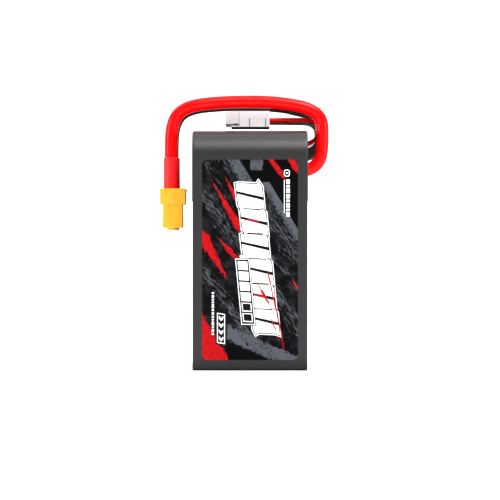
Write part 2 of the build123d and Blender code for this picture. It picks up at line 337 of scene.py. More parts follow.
def make_shrink(name, c, dark):
    m = Mat(name, spec=0.24)
    n = m.noise(1.6, 4.0)
    m.color(m.mix(n.ramp(0.25, 0.75), dark, c))
    m.rough(0.38 + 0.12 * n)
    wrap = m.noise(1.0, 3.0, vec=m.vec(m.x * 0.4, m.y * 0.4, m.z * 1.6))
    m.bump(wrap * 0.8 + m.noise(0.2) * 0.15, 0.05)
    return m.m


def make_nylon(name, c, dark, rough=0.36, sss=0.12, bump=0.012, under=None):
    m = Mat(name, spec=0.3, sss=sss)
    n = m.noise(2.5, 3.0)
    col = m.mix(n.ramp(0.2, 0.8), dark, c)
    if under:
        # painted shade on the face turned to the pack: below this height the colour goes dark grey and the reflection
        # is turned off
        low = m.z.under(under)
        col = m.mix(low, col, (0.07, 0.07, 0.07))
        m.spec(0.3 * (1.0 - low))
    m.color(col)
    m.rough(rough + 0.10 * m.noise(0.8, 3.0))
    m.bump(m.noise(0.22, 2.0, 0.6) * 0.5 + n * 0.5, bump)
    return m.m


def make_clear(name):
    m = Mat(name, spec=0.4, ior=1.46)
    n = m.noise(1.8, 3.0)
    col = m.mix(n.ramp(0.2, 0.8), (0.97, 0.965, 0.975), (0.99, 0.985, 0.99))
    # painted shade: below z 85.36 mm the clip's underside is coloured dark grey and its reflection turned off
    low = m.z.under(85.36)
    m.color(m.mix(low, col, (0.07, 0.07, 0.07)))
    m.spec(0.4 * (1.0 - low))
    m.rough(0.24 + 0.12 * n)
    m.bump(m.noise(1.1, 2.0), 0.02)
    return m.m


def make_metal(name, c, rough=0.25, scale=0.25, depth=0.004):
    m = Mat(name, metal=1.0)
    n = m.noise(scale * 4, 4.0)
    m.color(m.mix(n.ramp(0.25, 0.75), tuple(v * 0.82 for v in c), c))
    m.rough(rough + 0.15 * m.noise(scale, 2.0))
    m.bump(m.noise(scale, 2.0), depth)
    return m.m


def make_foil():
    m = Mat("pouch_foil", metal=1.0)
    crease = m.voronoi(3.5, feature="DISTANCE_TO_EDGE")
    m.color(m.mix(m.noise(4.0).ramp(0.3, 0.7), (0.55, 0.55, 0.57), (0.68, 0.68, 0.70)))
    m.rough(0.30 + 0.15 * m.noise(1.0))
    m.bump(crease.min(0.2) * 2.0 + m.noise(1.5) * 0.6, 0.08)
    return m.m


def make_board():
    m = Mat("fibreglass_board", spec=0.5)
    weave = (m.x * 9.0).sin() * (m.z * 9.0).sin() + (m.y * 9.0).sin() * 0.3
    m.color(m.mix(weave.ramp(-0.8, 0.8), (0.012, 0.07, 0.03), (0.02, 0.10, 0.045)))
    m.rough(0.42 + 0.1 * m.noise(0.8))
    m.bump(weave, 0.006)
    return m.m


def make_soft(name, c, dark, rough=0.8, size=0.5, depth=0.05):
    m = Mat(name, spec=0.3)
    cells = m.voronoi(size)
    m.color(m.mix(cells.ramp(0.1, 0.6), dark, c))
    m.rough(rough + 0.1 * m.noise(size))
    m.bump(cells, depth)
    return m.m


film = make_film()
tape = make_tape()
card = make_card()
label_print = make_label_base()
rear_print = make_rear_label()
white_print = make_print("white_ink", srgb(246, 246, 247), 0.95)
black_print = make_print("black_ink", (0.0035, 0.0035, 0.004), 0.7)
red_print = make_print("red_ink", RED, 0.85)
grey_print = make_print("grey_ink", GREY, 0.8)
red_silicone = make_silicone("red_silicone_skin", (0.88, 0.0012, 0.0016), (0.80, 0.0009, 0.0012), coat=0.12)
black_silicone = make_silicone("black_silicone_skin", (0.030, 0.028, 0.027), (0.020, 0.019, 0.018), 0.34)
red_shrink = make_shrink("red_shrink_skin", (0.88, 0.006, 0.008), (0.80, 0.004, 0.006))
black_shrink = make_shrink("black_shrink_skin", (0.016, 0.016, 0.017), (0.010, 0.010, 0.011))
yellow = make_nylon("yellow_nylon_body", (0.84, 0.405, 0.010), (0.78, 0.35, 0.007), 0.36, 0.05)
# both white nylons carry painted shade on their undersides, below z 85.36 mm and 86.32 mm
white_nylon = make_nylon("white_nylon_body", (0.95, 0.95, 0.94), (0.90, 0.90, 0.89), 0.34, 0.0, under=85.36)
nose_nylon = make_nylon("white_nylon_nose", (0.95, 0.95, 0.94), (0.90, 0.90, 0.89), 0.34, 0.0, under=86.32)
seam = make_soft("plug_seam_shadow", (0.11, 0.105, 0.11), (0.06, 0.06, 0.06), 0.7, 0.6, 0.005)
clear = make_clear("clear_clip_plastic")
gold = make_metal("gold_contact", (0.86, 0.55, 0.13), 0.66)
tin = make_metal("tin_contact", (0.74, 0.73, 0.70), 0.3)
foil = make_foil()
board = make_board()
nickel = make_metal("nickel_strip", (0.70, 0.68, 0.62), 0.28)
alu = make_metal("aluminium_strip", (0.82, 0.82, 0.82), 0.25)
solder = make_metal("solder_blob", (0.70, 0.70, 0.72), 0.22, 0.5, 0.02)
foam = make_soft("black_foam", (0.03, 0.03, 0.032), (0.012, 0.012, 0.012), 0.85, 0.6)
adhesive = make_soft("adhesive_sheet", (0.8, 0.79, 0.72), (0.7, 0.69, 0.62), 0.5, 1.5, 0.01)
sealant = make_soft("tab_sealant", (0.72, 0.66, 0.48), (0.62, 0.56, 0.38), 0.4, 0.8, 0.01)

use = {
    "film_sleeve": film, "left_side_tape": tape, "right_side_tape": tape,
    "left_side_sheet": card, "right_side_sheet": card,
    "front_stiffener": board, "rear_stiffener": board,
    "front_label": label_print, "rear_label": rear_print,
    "cell_adhesive_sheets": adhesive, "positive_tabs": alu, "negative_tabs": nickel,
    "tab_sealant_strips": sealant, "balance_board": board, "tab_solder_beads": solder,
    "terminal_strips": nickel, "balance_solder_posts": solder, "tab_end_foam": foam,
    "positive_lead": red_silicone, "negative_lead": black_silicone,
    "positive_lead_shrink": red_shrink, "negative_lead_shrink": black_shrink,
    "connector_housing": yellow, "connector_contacts": gold,
    "balance_plug_housing": white_nylon, "balance_plug_contacts": tin,
    "balance_plug_clip": clear,
}
for i in range(1, 7):
    use[f"cell_{i}"] = foil
for i in range(1, 8):
    use[f"balance_wire_{i}"] = red_silicone if i == 1 else black_silicone
for n, o in nodes.items():
    o.data.materials.clear()
    o.data.materials.append(use[n])


# ------------------------------------------------------------------ mesh helpers
def add_mesh(name, verts, faces, material, smooth=True, body="root"):
    me = bpy.data.meshes.new(name)
    me.from_pydata([tuple(c * MM for c in v) for v in verts], [], faces)
    me.validate()
    me.update()
    me.materials.append(material)
    o = bpy.data.objects.new(name, me)
    bpy.context.scene.collection.objects.link(o)
    if smooth:
        me.polygons.foreach_set("use_smooth", [True] * len(me.polygons))
    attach(o, body)
    return o


def recalc(o):
    bm = bmesh.new()
    bm.from_mesh(o.data)
    bmesh.ops.recalc_face_normals(bm, faces=bm.faces)
    bm.to_mesh(o.data)
    bm.free()


def finish_bevel(o, width, segments=3, angle=32):
    b = o.modifiers.new("edge", "BEVEL")
    b.width = width * MM
    b.segments = segments
    b.limit_method = "ANGLE"
    b.angle_limit = math.radians(angle)
    b.harden_normals = True
    return b


def catmull(pts, closed=False, n=8):
    out = []
    k = len(pts)
    rng = range(k) if closed else range(k - 1)
    for i in rng:
        p0 = pts[(i - 1) % k] if closed or i > 0 else pts[i]
        p1, p2 = pts[i], pts[(i + 1) % k]
        p3 = pts[(i + 2) % k] if closed or i + 2 < k else pts[(i + 1) % k]
        for j in range(n):
            t = j / n
            out.append(tuple(0.5 * (2 * b + (c - a) * t + (2 * a - 5 * b + 4 * c - d) * t * t
                                    + (3 * b - a - 3 * c + d) * t ** 3)
                             for a, b, c, d in zip(p0, p1, p2, p3)))
    if not closed:
        out.append(pts[-1])
    return out


# ------------------------------------------------------------------ camera first
cam_data = bpy.data.cameras.new("studio_camera")
cam = bpy.data.objects.new("studio_camera", cam_data)
bpy.context.scene.collection.objects.link(cam)
cam.location = (0.0, -1.025, 0.0418)
cam.rotation_euler = (math.radians(90), 0, 0)
cam_data.sensor_width = 36.0
cam_data.lens = 36.0 * 1000.0 / 173.0
cam_data.clip_start = 0.05
cam_data.clip_end = 20
bpy.context.scene.camera = cam

# ------------------------------------------------------------------ leads and wires
RED_Y, BLACK_Y = -7.65, -0.45
LEAD_D, WIRE_D = 4.5, 1.7
PLUG_TOP = 63.4
END_X = -27.6
red_route = [(15.2, 69.3), (19.6, 69.3), (24.8, 72.5), (25.6, 80.0), (25.2, 90.7), (9.6, 94.1),
             (-11.0, 93.9), (-23.2, 92.2), (-27.6, 86.7), (-27.9, 74.6), (END_X, 63.4)]
black_route = [(12.05, 74.5), (18.1, 74.5), (25.4, 77.7), (25.4, 83.8), (25.2, 89.8), (18.4, 91.0), (10.2, 93.1),
               (-10.2, 93.4), (-23.1, 91.7), (-27.3, 85.9), (-27.6, 74.6), (END_X, 63.4)]


def cord_curve(name, pts, diameter, material):
    """A round cord on one smooth NURBS line through the route's points (mm)."""
    cu = bpy.data.curves.new(name, "CURVE")
    cu.dimensions = "3D"
    cu.resolution_u = 16
    cu.bevel_depth = diameter / 2 * MM
    cu.bevel_resolution = 10
    cu.use_fill_caps = True
    sp = cu.splines.new("NURBS")
    sp.points.add(len(pts) - 1)
    for p, q in zip(sp.points, pts):
        p.co = (q[0] * MM, q[1] * MM, q[2] * MM, 1.0)
    sp.order_u = 3
    sp.use_endpoint_u = True
    sp.use_smooth = True
    cu.materials.append(material)
    o = bpy.data.objects.new(name, cu)
    bpy.context.scene.collection.objects.link(o)
    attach(o, "root")
    return o


red_lead = cord_curve("red_main_lead", [(x, RED_Y, z) for x, z in red_route], LEAD_D, red_silicone)
black_lead = cord_curve("black_main_lead", [(x, BLACK_Y, z) for x, z in black_route], LEAD_D, black_silicone)
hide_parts("positive_lead")
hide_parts("negative_lead")

BAL_Y, BAL_Z, BAL_REAR = 6.5, 87.7, 3.2
RIB_Y, RIB_Z = 8.9, 78.5
for i in range(7):
    y = RIB_Y + (i - 3) * 1.8
    end = BAL_Y + (i - 3) * 2.5
    mid = y + (end - y) * 0.58
    # the wires further back hang a little lower round the upper bend
    pts = [(12.05, y, RIB_Z), (24.1 - 0.05 * i, y, RIB_Z + 0.2), (24.8 - 0.11 * i, y, 88.0 - 0.12 * i),
           (14.0, mid, 87.9 - 0.06 * i), (8.2, end, BAL_Z - 0.03 * i), (BAL_REAR, end, BAL_Z)]
    w = cord_curve(f"ribbon_wire_{i + 1}", pts, WIRE_D, red_silicone if i == 0 else black_silicone)
    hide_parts(f"balance_wire_{i + 1}")


# ------------------------------------------------------------------ film sleeve
HD, SH, RT, RB, RISE = 25.0, 74.5, 8.5, 2.2, 1.0
CY = HD - RT
TURN = 2 * math.atan(RISE / CY)
TOP = SH + RT + RISE


def outline(inset, step=0.8):
    """Points of the pack's side outline (y, z), set in, from the front bottom corner up."""
    y = HD - inset
    rt, rb = RT - inset, max(RB - inset, 0.5)
    pts = []

    def line(a, b):
        n = max(1, int(round(math.dist(a, b) / step)))
        pts.extend((a[0] + (b[0] - a[0]) * i / n, a[1] + (b[1] - a[1]) * i / n) for i in range(n))

    def arc(c, r, a0, a1, n):
        pts.extend((c[0] + r * math.cos(a0 + (a1 - a0) * i / n),
                    c[1] + r * math.sin(a0 + (a1 - a0) * i / n)) for i in range(n))

    big = CY / math.sin(TURN) + rt
    zc = TOP - inset - big
    line((-y, inset + rb), (-y, SH))
    arc((-CY, SH), rt, math.pi, math.pi / 2 + TURN, 22)
    arc((0, zc), big, math.pi / 2 + TURN, math.pi / 2 - TURN, 44)
    arc((CY, SH), rt, math.pi / 2 - TURN, 0, 22)
    line((y, SH), (y, inset + rb))
    arc((y - rb, inset + rb), rb, 0, -math.pi / 2, 9)
    line((y - rb, inset), (-(y - rb), inset))
    arc((-(y - rb), inset + rb), rb, -math.pi / 2, -math.pi, 9)
    return pts


def resample(pts, n):
    """n evenly spaced points round a closed outline, starting at its first point."""
    total = [0.0]
    loop = pts + [pts[0]]
    for a, b in zip(loop, loop[1:]):
        total.append(total[-1] + math.dist(a, b))
    out, k = [], 0
    for i in range(n):
        d = total[-1] * i / n
        while total[k + 1] < d:
            k += 1
        f = (d - total[k]) / max(total[k + 1] - total[k], 1e-9)
        out.append((loop[k][0] + (loop[k + 1][0] - loop[k][0]) * f,
                    loop[k][1] + (loop[k + 1][1] - loop[k][1]) * f))
    return out


def build_sleeve():
    base = outline(0.0, 0.7)
    n = len(base)
    # outward direction at each outline point
    norms = []
    for i in range(n):
        a, b = base[(i - 1) % n], base[(i + 1) % n]
        d = Vector((b[1] - a[1], -(b[0] - a[0])))
        d.normalize()
        if d.dot(Vector((base[i][0], base[i][1] - 40))) < 0:
            d = -d
        norms.append(d)
    half, fold, lip, t = 19.9, 0.22, 3.0, 0.2
    # columns across the width: (x, inset from the outer outline)
    cols = []
    flat = half - fold
    for k in range(49):
        cols.append((-flat + 2 * flat * k / 48, 0.0))
    right = []
    for k in range(1, 6):
        a = math.pi / 2 * k / 5
        right.append((flat + fold * math.sin(a), fold * (1 - math.cos(a))))
    for k in range(1, 9):
        right.append((half, fold + (lip - fold) * k / 8))
    # the film's cut edge and its inner face, back to the start of the fold
    inner = [(half - t, lip)] + [(half - t, fold + (lip - fold) * k / 4) for k in (3, 2, 1)]
    inner.append((half - t, t))
    cols = [(-x, s) for x, s in reversed(right)] + cols + right
    cols = [(-x, s) for x, s in inner[::-1]][:0] + cols
    ring = cols + inner + [(-x, s) for x, s in reversed(inner)]
    m = len(ring)
    verts, faces = [], []
    rng = random.Random(11)
    for i, ((y, z), nv) in enumerate(zip(base, norms)):
        # outline points three steps either side of this one; nothing below reads them
        a, b = base[(i - 3) % n], base[(i + 3) % n]
        for j, (x, s) in enumerate(ring):
            yy, zz = y - nv.x * s, z - nv.y * s
            xx = x
            on_lip = abs(x) > half - 0.01 and s > fold
            corner_in = min(max((s - fold) / (lip - fold), 0.0), 1.0)
            if on_lip:
                # the cut edge wanders a little; below the tape the lip also puckers
                wander = mnoise.noise(Vector((y * 0.21, z * 0.21, 3.0 if x > 0 else 8.0)))
                yy -= nv.x * wander * 0.45 * corner_in
                zz -= nv.y * wander * 0.45 * corner_in
                if z < 56:
                    p = mnoise.noise(Vector((y * 0.9, z * 0.9, 1.0 if x > 0 else 5.0)))
                    xx += math.copysign(0.10 * corner_in * p, x)
            elif s == 0.0 and j < len(cols):
                # slight film ripple on the broad faces, kept out of the edges
                keep = min(1.0, (half - abs(x)) / 3.0)
                r = mnoise.noise(Vector((x * 0.10, y * 0.07, z * 0.07)))
                r2 = mnoise.noise(Vector((x * 0.35, y * 0.2 + 7, z * 0.16)))
                d = (0.030 * r + 0.012 * r2) * keep
                if z < 0.3:
                    d = 0.0
                yy += nv.x * d
                zz += nv.y * d
            verts.append((xx, yy, max(zz, 0.0)))
    for i in range(n):
        for j in range(m):
            a = i * m + j
            b = i * m + (j + 1) % m
            c = ((i + 1) % n) * m + (j + 1) % m
            d = ((i + 1) % n) * m + j
            faces.append((a, b, c, d))
    o = add_mesh("shrink_film_sleeve", verts, faces, film)
    recalc(o)
    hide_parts("film_sleeve")
    return o


sleeve = build_sleeve()


# ------------------------------------------------------------------ label artwork
def signed_area(p):
    return 0.5 * sum(a[0] * b[1] - b[0] * a[1] for a, b in zip(p, p[1:] + p[:1]))


def grow(poly, d, limit=2.2):
    """Polygon (x, z) grown by d, with its spikes held to a limit."""
    if signed_area(poly) < 0:
        poly = poly[::-1]
    out = []
    n = len(poly)
    for i in range(n):
        a, b, c = Vector(poly[i - 1]), Vector(poly[i]), Vector(poly[(i + 1) % n])
        u, v = (b - a), (c - b)
        if u.length < 1e-6 or v.length < 1e-6:
            out.append(tuple(b))
            continue
        u.normalize()
        v.normalize()
        nu, nv = Vector((u.y, -u.x)), Vector((v.y, -v.x))
        w = nu + nv
        if w.length < 1e-4:
            w = nu
        w.normalize()
        k = min(limit, 1.0 / max(w.dot(nu), 0.2))
        out.append(tuple(b + w * d * k))
    return out


def flat_art(name, shapes, level, material, side=-1, thick=0.012):
    """Printed shapes (lists of loops in x, z; later loops are holes) lying on the label."""
    y1 = side * (25.12 + 0.012 + level * 0.016)
    y0 = y1 - side * thick
    verts, faces = [], []
    for loops in shapes:
        loops = [list(l) for l in loops]
        start = len(verts)
        flat = [p for l in loops for p in l]
        tris = tessellate_polygon([[Vector((p[0], p[1], 0)) for p in l] for l in loops])
        verts += [(p[0], y1, p[1]) for p in flat]
        verts += [(p[0], y0, p[1]) for p in flat]
        k = len(flat)
        for t in tris:
            faces.append(tuple(start + i for i in t))
            faces.append(tuple(start + k + i for i in reversed(t)))
        at = start
        for l in loops:
            for i in range(len(l)):
                a, b = at + i, at + (i + 1) % len(l)
                faces.append((a, b, b + k, a + k))
            at += len(l)
    o = add_mesh(name, verts, faces, material, smooth=False)
    recalc(o)
    return o


def tilted(points, ox, oz, deg, scale=1.0):
    """Local (across, down) points placed on the label, turned by deg."""
    c, s = math.cos(math.radians(deg)), math.sin(math.radians(deg))
    return [(ox + (u * c + v * s) * scale, oz + (u * s - v * c) * scale) for u, v in points]


def block_stack():
    """A leaning stack of plain bars with clipped corners, each split by a slanted groove."""
    blocks, cuts, fills = [], [], []
    down = 0.0
    rows = ((9.1, 0.0, 8.8), (8.6, 0.4, 8.6), (8.7, -0.2, 9.0),
            (8.7, 0.3, 8.7), (8.8, -0.2, 9.2), (8.6, 0.25, 8.8))
    for k, (h, shift, w) in enumerate(rows):
        lean, g = 1.35, 0.62
        a, b = -w / 2 + shift, w / 2 + shift
        blocks.append([(a, down + 0.1), (a + 1.0, down), (b - 1.6, down + lean * 0.8), (b - 0.9, down + lean - 1.3),
                       (b, down + lean + 0.8), (b, down + h + lean - g + 0.7), (b - 1.3, down + h + lean * 0.9 - g),
                       (a + 1.7, down + h + lean * 0.2 - g), (a + 0.7, down + h - g + 0.8), (a, down + h - g - 1.0)])
        m0 = down + h * 0.5
        cuts.append([(a, m0 - 1.9), (b, m0 + 1.1), (b, m0 + 2.3), (a, m0 - 1.0)])
        if k % 3 == 1:
            fills.append([(a + 2.2, m0 - 1.0), (a + 6.0, m0 + 0.35), (a + 6.0, m0 + 0.9), (a + 2.2, m0 - 0.4)])
        down += h
    return blocks, cuts, fills


def jagged(a, b, half, steps, rng, spike=1.0):
    """Thin torn sliver from a to b."""
    d = Vector((b[0] - a[0], b[1] - a[1]))
    n = Vector((-d.y, d.x)).normalized()
    d.normalize()
    sides = ([], [])
    for k in range(steps + 1):
        t = k / steps
        w = half * min(t / 0.3, (1 - t) / 0.5, 1.0)
        for s, out in zip((1, -1), sides):
            slip = rng.uniform(-0.5, 0.5) * spike
            ww = max(w * rng.uniform(0.45, 1.5), 0.012)
            out.append((a[0] + (b[0] - a[0]) * t + n.x * ww * s + d.x * slip * min(t, 1 - t) * 2,
                        a[1] + (b[1] - a[1]) * t + n.y * ww * s + d.y * slip * min(t, 1 - t) * 2))
    return sides[0] + sides[1][::-1]


def build_motif():
    blocks, cuts, fills = block_stack()
    ox, oz, tilt = -0.55, 65.3, 6.6
    core = [tilted(b, ox, oz, tilt) for b in blocks]
    halo = flat_art("motif_outline", [[grow(p, 0.64, 1.4)] for p in core], 1, white_print)
    gap = flat_art("motif_shadow", [[grow(p, 0.36, 1.4)] for p in core], 2, black_print)
    top = flat_art("motif_blocks", [[p] for p in core], 3, white_print)
    slots = flat_art("motif_slots", [[tilted(c, ox, oz, tilt)] for c in cuts], 4, black_print)
    red = flat_art("motif_slot_fills", [[tilted(c, ox, oz, tilt)] for c in fills], 5, red_print)
    # hairlines that cross the whole stack
    lines = []
    rng = random.Random(7)
    for k in range(5):
        v0 = 1.0 + k * 10.2
        p0 = (-4.2, v0)
        p1 = (4.6, v0 + 10.4 + rng.uniform(-0.6, 0.6))
        pts = [p0]
        for j in range(1, 5):
            f = j / 5
            pts.append((p0[0] + (p1[0] - p0[0]) * f + rng.uniform(-0.12, 0.12),
                        p0[1] + (p1[1] - p0[1]) * f + rng.uniform(-0.12, 0.12)))
        pts.append(p1)
        back = [(u + 0.15, v - 0.05) for u, v in reversed(pts[1:-1])]
        lines.append([tilted(pts + back, ox, oz, tilt)])
    hairs = flat_art("motif_hairlines", lines, 4, black_print)
    slivers = [[jagged((2.6, 30.2), (8.6, 19.6), 0.42, 12, rng)],
               [jagged((5.4, 37.6), (11.9, 8.2), 0.34, 22, rng)],
               [jagged((7.1, 18.6), (9.6, 12.2), 0.26, 9, rng)]]
    torn = flat_art("motif_slivers", slivers, 6, red_print)
    return [halo, gap, top, slots, red, hairs, torn]


def bar(u0, u1, v0, v1, lean=0.0):
    return [(u0, v0), (u1, v0 + lean), (u1, v1 + lean), (u0, v1)]


def build_gauge():
    """Six-segment bar gauge beside the motif, in a thin frame."""
    ox, oz, tilt = -4.3, 38.0, 5.4
    segs, frames, shadow = [], [], []
    n, pitch, w = 6, 3.62, 3.3
    total = n * pitch
    outer = bar(-0.75, w + 0.75, -0.9, total + 0.35, 0.5)
    inner = bar(-0.50, w + 0.50, -0.62, total + 0.08, 0.5)
    shadow.append([tilted(bar(-1.0, w + 1.0, -1.2, total + 0.65, 0.5), ox, oz, tilt)])
    frames.append([tilted(outer, ox, oz, tilt), tilted(inner, ox, oz, tilt)[::-1]])
    frames.append([tilted([(0.9, -1.9), (w - 0.9, -1.5), (w - 0.9, -0.9), (0.9, -1.0)], ox, oz, tilt)])
    for k in range(n):
        v = k * pitch
        if k < 4:
            segs.append([tilted(bar(0, w, v, v + pitch - 0.62, 0.5), ox, oz, tilt)])
        else:
            segs.append([tilted(bar(0, w, v, v + pitch - 0.62, 0.5), ox, oz, tilt),
                         tilted(bar(0.28, w - 0.28, v + 0.28, v + pitch - 0.9, 0.42), ox, oz, tilt)[::-1]])
    return [flat_art("gauge_ground", shadow, 7, black_print),
            flat_art("gauge_frame", frames, 8, white_print),
            flat_art("gauge_segments", segs, 8, white_print)]


def build_badge():
    """Small leaning frame with chevrons, and a row of ticks."""
    ox, oz, tilt = -11.4, 20.1, 0.0
    frame_loops = [[tilted([(0, 0), (2.75, 0.5), (2.75, 10.9), (0, 10.4)], ox, oz, tilt),
                    tilted([(0.26, 0.32), (2.49, 0.74), (2.49, 10.55), (0.26, 10.1)], ox, oz, tilt)[::-1]]]
    chev = []
    for k in range(4):
        v = 0.95 + k * 2.36
        chev.append([tilted([(0.62, v), (1.38, v + 0.95), (2.14, v + 0.25), (2.14, v + 1.15),
                             (1.38, v + 1.9), (0.62, v + 0.95)], ox, oz, tilt)])
    ticks = []
    pattern = (0.55, 0.9, 0.55, 0.55, 1.3, 0.55, 0.9, 0.55, 0.55, 1.3, 0.55, 0.9, 0.55)
    v = 0.0
    for p in pattern:
        ticks.append([tilted(bar(0, 0.72, v, v + p), -13.2, 27.2, 0.0)])
        v += p + 0.42
    ground = [[tilted([(-0.5, -0.5), (3.25, 0.1), (3.25, 11.5), (-0.5, 10.9)], ox, oz, tilt)]]
    return [flat_art("badge_ground", ground, 1, black_print),
            flat_art("badge_frame", frame_loops, 2, white_print),
            flat_art("badge_chevrons", chev, 2, white_print),
            flat_art("edge_ticks", ticks, 2, white_print)]


def round_rect(cx, cz, w, h, r, n=6):
    pts = []
    for qx, qz, a0 in ((1, 1, 0), (-1, 1, 90), (-1, -1, 180), (1, -1, 270)):
        for i in range(n + 1):
            a = math.radians(a0 + 90 * i / n)
            pts.append((cx + qx * (w / 2 - r) + r * math.cos(a), cz + qz * (h / 2 - r) + r * math.sin(a)))
    return pts


def build_marker():
    """Ring and dashes near the upper right corner."""
    ring = [[round_rect(12.75, 68.4, 2.0, 2.5, 0.8), round_rect(12.75, 68.4, 1.4, 1.9, 0.5)[::-1]],
            [round_rect(12.75, 68.4, 0.62, 0.62, 0.3)]]
    dashes = []
    z = 66.2
    for k, h in enumerate((1.5, 0.8, 1.5, 1.5, 0.8, 1.5, 0.8, 1.5)):
        dashes.append([[(12.55, z), (13.75, z), (13.75, z - h), (12.55, z - h)]])
        z -= h + 0.42
    rule = [[[(11.75, 66.0), (11.98, 66.0), (11.98, 54.6), (11.75, 54.6)]]]
    return [flat_art("marker_ring", ring, 1, white_print),
            flat_art("marker_dashes", dashes, 1, white_print),
            flat_art("marker_rule", rule, 1, white_print)]


art = build_motif() + build_gauge() + build_badge() + build_marker()
rear_bars = []
for k in range(6):
    rear_bars.append([round_rect(0, 56 - k * 5.4, 20 - (k % 3) * 3.2, 1.3, 0.5)])
rear_bars.append([round_rect(0, 17.5, 22.0, 9.0, 1.2), round_rect(0, 17.5, 21.2, 8.2, 0.9)[::-1]])
art.append(flat_art("rear_label_bars", rear_bars, 1, grey_print, side=1))


# ------------------------------------------------------------------ lead shrink sleeves
def build_shrink(name, y, material, node):
    """Shrink sleeve: gripped at the top, swollen over the solder cup at the bottom."""
    prof = [(2.29, 74.0), (2.36, 74.26), (2.56, 74.30), (2.70, 74.18), (2.74, 73.8), (2.73, 71.0),
            (2.74, 69.0), (2.76, 66.8), (2.79, 65.4), (2.80, 64.2), (2.79, 63.45), (2.45, 63.42)]
    prof = catmull(prof, n=4)
    seg = 40
    verts, faces = [], []
    for r, z in prof:
        for k in range(seg):
            a = 2 * math.pi * k / seg
            w = mnoise.noise(Vector((math.cos(a) * 1.2, math.sin(a) * 1.2 + y, z * 0.5)))
            rr = min(r + 0.02 * w, 2.8)
            verts.append((END_X + rr * math.cos(a), y + rr * math.sin(a), z))
    for i in range(len(prof) - 1):
        for k in range(seg):
            a, b = i * seg + k, i * seg + (k + 1) % seg
            faces.append((a, b, b + seg, a + seg))
    o = add_mesh(name, verts, faces, material)
    recalc(o)
    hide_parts(node)
    return o


red_boot = build_shrink("red_shrink_sleeve", RED_Y, red_shrink, "positive_lead_shrink")
black_boot = build_shrink("black_shrink_sleeve", BLACK_Y, black_shrink, "negative_lead_shrink")

# ------------------------------------------------------------------ main connector
PX, PY = -27.1, (RED_Y + BLACK_Y) / 2


def prism(loops, cap_top=True, cap_bottom=True):
    """Verts and faces of a stack of same-length loops [(points, z)]."""
    verts, faces = [], []
    n = len(loops[0][0])
    for pts, z in loops:
        verts += [(x, y, z) for x, y in pts]
    for i in range(len(loops) - 1):
        for k in range(n):
            a, b = i * n + k, i * n + (k + 1) % n
            faces.append((a, b, b + n, a + n))
    if cap_bottom:
        faces.append(tuple(reversed(range(n))))
    if cap_top:
        faces.append(tuple(range((len(loops) - 1) * n, len(loops) * n)))
    return verts, faces


def d_outline(w, d, cut):
    """Connector section, square at the front end and cut at the back end."""
    return [(PX - w / 2, PY - d / 2), (PX + w / 2, PY - d / 2), (PX + w / 2, PY + d / 2 - cut),
            (PX + w / 2 - cut, PY + d / 2), (PX - w / 2 + cut, PY + d / 2), (PX - w / 2, PY + d / 2 - cut)]


def circle(cx, cy, r, n=40):
    return [(cx + r * math.cos(2 * math.pi * k / n), cy + r * math.sin(2 * math.pi * k / n)) for k in range(n)]


def cut_by(o, cutters):
    for c in cutters:
        m = o.modifiers.new("cut", "BOOLEAN")
        m.operation = "DIFFERENCE"
        m.solver = "EXACT"
        m.object = c


def bake_down(o, extra=()):
    """Applies an object's modifiers to its mesh and removes helper objects."""
    bpy.context.view_layer.update()
    dg = bpy.context.evaluated_depsgraph_get()
    me = bpy.data.meshes.new_from_object(o.evaluated_get(dg))
    old = o.data
    o.modifiers.clear()
    o.data = me
    me.name = o.name
    bpy.data.meshes.remove(old)
    for c in extra:
        bpy.data.objects.remove(c)


def helper(name, verts, faces):
    me = bpy.data.meshes.new(name)
    me.from_pydata([tuple(c * MM for c in v) for v in verts], [], faces)
    o = bpy.data.objects.new(name, me)
    bpy.context.scene.collection.objects.link(o)
    recalc(o)
    return o


def build_connector():
    out = []
    # wire-side collar, slightly drawn in at its lower edge
    def rect(w, d):
        return [(PX - w / 2, PY - d / 2), (PX + w / 2, PY - d / 2), (PX + w / 2, PY + d / 2), (PX - w / 2, PY + d / 2)]
    v, f = prism([(rect(8.6, 15.6), 57.80), (rect(8.85, 15.85), 58.1), (rect(8.9, 15.9), 61.9),
                  (rect(9.25, 16.2), 62.35), (rect(9.25, 16.2), 63.05), (rect(9.05, 16.0), 63.4)])
    collar = add_mesh("connector_collar", v, f, yellow)
    v, f = prism([(d_outline(6.9, 15.25, 1.8), 49.58), (d_outline(7.05, 15.4, 1.9), 50.0), (d_outline(6.85, 15.3, 1.9), 58.6)])
    shell = add_mesh("connector_shell", v, f, yellow)
    tubes = []
    for y in (RED_Y, BLACK_Y):
        cutter = []
        v, f = prism([(circle(PX, y, 2.12), 47.0), (circle(PX, y, 2.12), 60.7)])
        cutter.append(helper("cutter", v, f))
        tubes.append(cutter[0])
    recalc(shell)
    cut_by(shell, tubes)
    finish_bevel(shell, 0.16, 3, 40)
    bake_down(shell)
    recalc(collar)
    wells = []
    for y in (RED_Y, BLACK_Y):
        v, f = prism([(circle(PX, y, 2.9), 62.2), (circle(PX, y, 2.9), 65.0)])
        wells.append(helper("cutter", v, f))
    cut_by(collar, wells)
    finish_bevel(collar, 0.14, 3, 30)
    bake_down(collar)
    for c in tubes + wells:
        bpy.data.objects.remove(c)
    # grip ribs on the two broad faces of the collar
    verts, faces = [], []
    for s in (-1, 1):
        for k in range(4):
            z = 58.7 + k * 0.85
            x0, x1 = PX + s * 4.35, PX + s * 4.56
            ring = [(x0, z), (x1, z + 0.12), (x1, z + 0.38), (x0, z + 0.5)]
            at = len(verts)
            for y in (PY - 6.2, PY + 6.2):
                verts += [(x, y, zz) for x, zz in ring]
            for j in range(4):
                faces.append((at + j, at + (j + 1) % 4, at + 4 + (j + 1) % 4, at + 4 + j))
            faces.append((at, at + 1, at + 2, at + 3))
            faces.append((at + 7, at + 6, at + 5, at + 4))
    ribs = add_mesh("connector_grip_ribs", verts, faces, yellow, smooth=False)
    recalc(ribs)
    out = [collar, shell, ribs]
    for o in out:
        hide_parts("connector_housing")
    return out


connector = build_connector()


